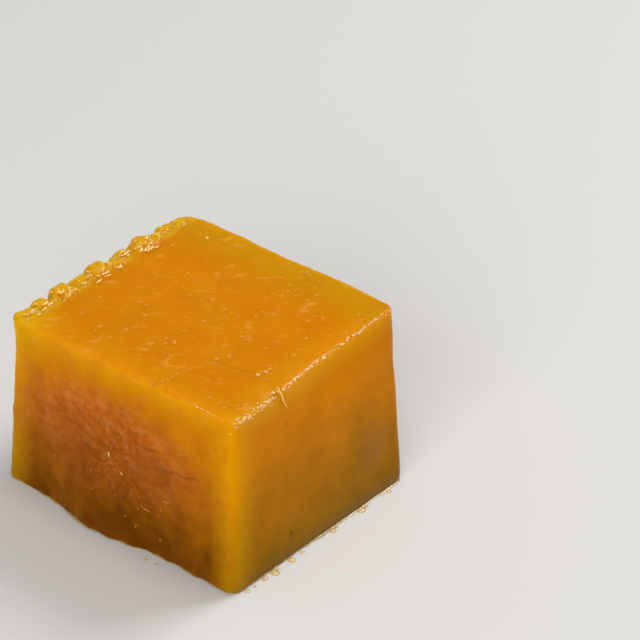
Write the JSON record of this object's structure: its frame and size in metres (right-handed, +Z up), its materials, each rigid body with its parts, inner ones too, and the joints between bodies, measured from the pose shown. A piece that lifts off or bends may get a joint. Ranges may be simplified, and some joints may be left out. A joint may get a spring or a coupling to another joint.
{
  "type": "sweet potato paste",
  "caption": "Hand-cut block of firm, translucent sweet potato paste with one torn, craggy top rim and a flat foot.",
  "frame": {"origin": "middle of the block's box, on the flat foot that it rests on", "axes": "+Z up, shortest extent; +X along the wide front face towards the knife-cut side, longest extent; +Y from the front face to the back, with the torn craggy rim along -X"},
  "size_m": [0.0568, 0.05, 0.0377],
  "materials": {
    "paste": "moist translucent amber-orange paste, satin to glossy, yellower at thin edges and browner towards the foot"
  },
  "bodies": {
    "root": {"paste_block": "paste"}
  },
  "joints": []
}
